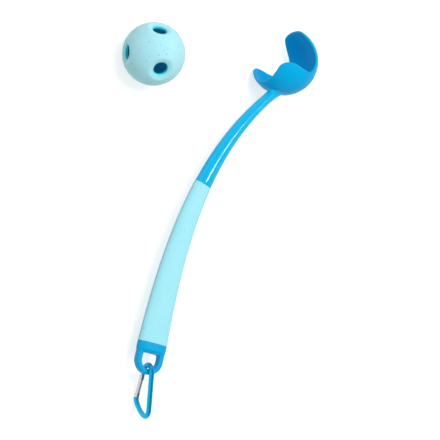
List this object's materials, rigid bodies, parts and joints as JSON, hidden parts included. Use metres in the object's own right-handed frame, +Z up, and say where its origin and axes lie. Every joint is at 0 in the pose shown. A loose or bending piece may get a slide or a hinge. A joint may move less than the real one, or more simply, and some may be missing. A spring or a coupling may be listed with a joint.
{
  "type": "dog ball thrower",
  "caption": "Curved handle with a lobed cup that picks up and throws a hollow ball, with a soft grip and a small carabiner on its hanging loop; the ball lies beside it.",
  "frame": {"origin": "centre of the bounding box at the floor that the thrower and the ball lie on", "axes": "+Z up, +Y along the handle towards the cup, the ball on the -X side"},
  "size_m": [0.2152, 0.4276, 0.0681],
  "materials": {
    "cup_plastic": "satin",
    "arm_plastic": "gloss",
    "grip_rubber": "matte, finely speckled",
    "cap_plastic": "gloss",
    "carabiner_blue": "anodised, gloss",
    "gate_silver": "polished",
    "pin_steel": "plain",
    "ball_rubber": "matte, finely speckled"
  },
  "bodies": {
    "thrower": {"ball_cup": "cup_plastic", "throwing_arm": "arm_plastic", "handle_grip": "grip_rubber", "end_cap": "cap_plastic"},
    "carabiner": {"carabiner_body": "carabiner_blue"},
    "gate": {"carabiner_gate": "gate_silver", "gate_hinge_rivet": "pin_steel", "gate_latch_pin": "pin_steel", "gate_spring": "pin_steel"},
    "plunger": {"gate_plunger": "pin_steel"},
    "loose_ball": {"ball": "ball_rubber"}
  },
  "joints": [
    {"name": "carabiner_swing", "type": "hinge", "parent": "thrower", "child": "carabiner", "pos_m": [-0.00698, -0.16972, 0.02188], "axis": [-0.9903, -0.1391, -0.005], "range_deg": [-105, 130]},
    {"name": "gate_open", "type": "hinge", "parent": "carabiner", "child": "gate", "pos_m": [-0.00663, -0.17181, 0.01158], "axis": [-0.9903, -0.1391, -0.005], "range_deg": [0, 40], "stiffness_Nm_per_rad": 0.012, "springref_deg": -28.65},
    {"name": "plunger_slide", "type": "slide", "parent": "gate", "child": "plunger", "axis": [0.1304, -0.9144, -0.3833], "range_m": [0, 0.001], "deforming": ["gate_spring"]},
    {"name": "ball_to_cup", "type": "hinge", "parent": "thrower", "child": "loose_ball", "pos_m": [0.01827, 0.08204, 0.0296], "axis": [0.0058, 0.0465, -0.9989], "range_deg": [0, 87.37]}
  ],
  "couplings": [
    {"joint": "plunger_slide", "follows": "gate_open", "m_per_rad": 0.0011459}
  ]
}
